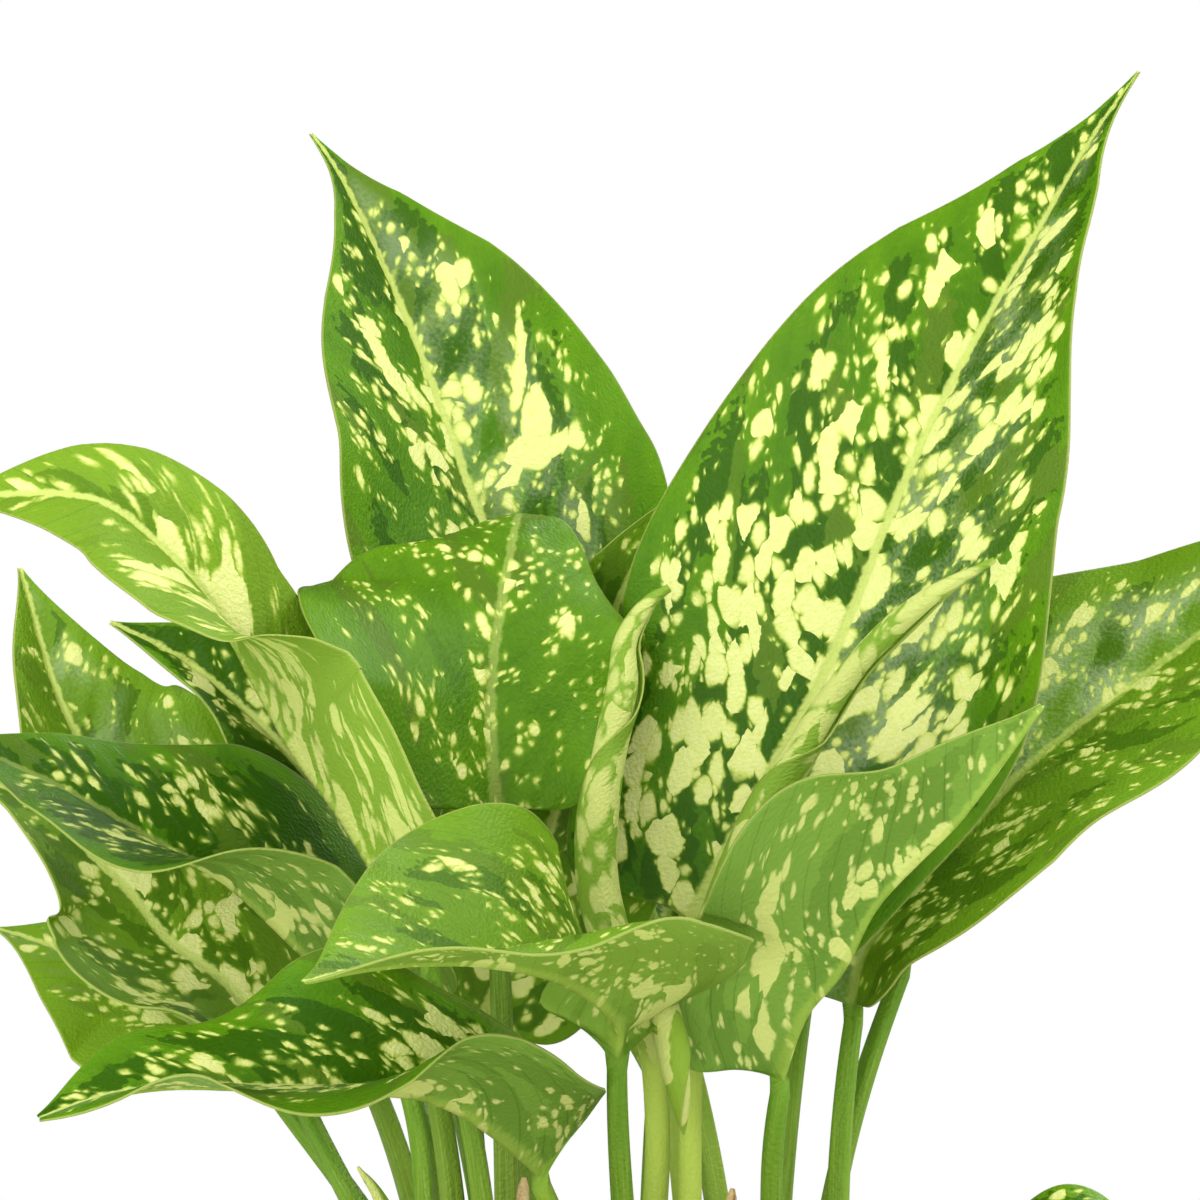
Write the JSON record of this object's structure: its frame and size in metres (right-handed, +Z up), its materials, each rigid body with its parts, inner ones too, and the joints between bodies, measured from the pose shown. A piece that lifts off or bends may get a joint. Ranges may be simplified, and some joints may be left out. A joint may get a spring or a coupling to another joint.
{
  "type": "potted chinese evergreen",
  "caption": "Leafy foliage plant with broad pointed cream-spotted leaves on slim petioles, growing from soil in a plain round clay pot.",
  "frame": {"origin": "middle of the pot's underside, on the plane that the pot stands on", "axes": "+Z up, +X to the right as seen from the show side, -Y towards the show side that the picture shows"},
  "size_m": [0.2756, 0.2451, 0.3742],
  "materials": {
    "pot": "matte",
    "soil": "matte",
    "leaf_tall_left": "satin",
    "leaf_tall_right": "satin",
    "leaf_right": "satin",
    "leaf_front_right": "satin",
    "leaf_middle": "satin",
    "leaf_twisted_left": "satin",
    "leaf_back_left": "satin",
    "leaf_small_left": "satin",
    "leaf_left": "satin",
    "leaf_low_left": "satin",
    "leaf_low_back_left": "satin",
    "leaf_front": "satin",
    "leaf_front_low": "satin",
    "leaf_back_middle": "satin",
    "leaf_young_right": "satin",
    "leaf_low_right": "satin",
    "leaf_rear_left": "satin",
    "leaf_rear_middle": "satin",
    "leaf_rear_low": "satin",
    "leaf_rear_right": "satin",
    "leaf_side_right": "satin",
    "leaf_side_left": "satin",
    "spear_middle": "satin",
    "spear_left": "satin"
  },
  "bodies": {
    "root": {"pot": "pot", "soil": "soil", "leaf_tall_left": "leaf_tall_left", "leaf_tall_right": "leaf_tall_right", "leaf_right": "leaf_right", "leaf_front_right": "leaf_front_right", "leaf_middle": "leaf_middle", "leaf_twisted_left": "leaf_twisted_left", "leaf_back_left": "leaf_back_left", "leaf_small_left": "leaf_small_left", "leaf_left": "leaf_left", "leaf_low_left": "leaf_low_left", "leaf_low_back_left": "leaf_low_back_left", "leaf_front": "leaf_front", "leaf_front_low": "leaf_front_low", "leaf_back_middle": "leaf_back_middle", "leaf_young_right": "leaf_young_right", "leaf_low_right": "leaf_low_right", "leaf_rear_left": "leaf_rear_left", "leaf_rear_middle": "leaf_rear_middle", "leaf_rear_low": "leaf_rear_low", "leaf_rear_right": "leaf_rear_right", "leaf_side_right": "leaf_side_right", "leaf_side_left": "leaf_side_left", "spear_middle": "spear_middle", "spear_left": "spear_left"}
  },
  "joints": []
}
